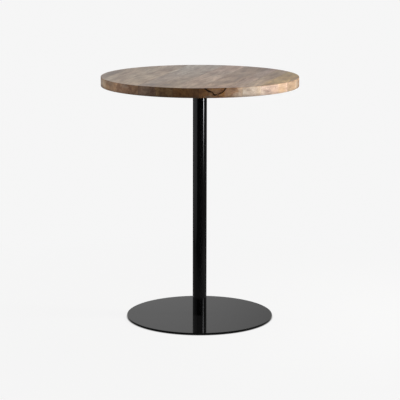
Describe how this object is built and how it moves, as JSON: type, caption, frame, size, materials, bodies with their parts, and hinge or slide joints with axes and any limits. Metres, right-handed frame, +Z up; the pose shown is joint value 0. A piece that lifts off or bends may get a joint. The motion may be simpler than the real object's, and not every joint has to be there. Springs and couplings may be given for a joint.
{
  "type": "bar table",
  "caption": "Round bar table with a top of glued solid timber boards on a slim steel tube column and a flat round steel base plate.",
  "frame": {"origin": "centre of the table's footprint, on the floor", "axes": "+Z up along the column to the table top; -Y towards the side that the picture shows; the boards lean 15 degrees from Y towards +X"},
  "size_m": [0.8, 0.8, 1],
  "materials": {
    "light_board": "satin lacquered hardwood, lighter board",
    "tan_board": "satin lacquered hardwood, tan board",
    "brown_board": "satin lacquered hardwood, browner board",
    "black_steel": "gloss black powder coat on steel",
    "zinc_steel": "bright zinc plate",
    "bare_steel": "plain machined steel, inside the column",
    "pad_rubber": "matt black rubber"
  },
  "bodies": {
    "root": {"top_board_01": "light_board", "top_board_02": "tan_board", "top_board_03": "brown_board", "top_board_04": "tan_board", "top_board_05": "brown_board", "top_board_06": "tan_board", "top_board_07": "brown_board", "top_board_08": "light_board", "top_board_09": "tan_board", "top_board_10": "light_board", "top_board_11": "tan_board", "threaded_inserts": "zinc_steel", "fixing_plate": "black_steel", "fixing_washers": "zinc_steel", "fixing_bolts": "zinc_steel", "column_tube": "black_steel", "column_top_weld": "black_steel", "column_foot_plug": "bare_steel", "column_foot_weld": "bare_steel", "base_plate": "black_steel", "base_screws": "zinc_steel", "floor_pad_1": "pad_rubber", "floor_pad_2": "pad_rubber", "floor_pad_3": "pad_rubber", "floor_pad_4": "pad_rubber", "floor_pad_5": "pad_rubber", "floor_pad_6": "pad_rubber"}
  },
  "joints": []
}
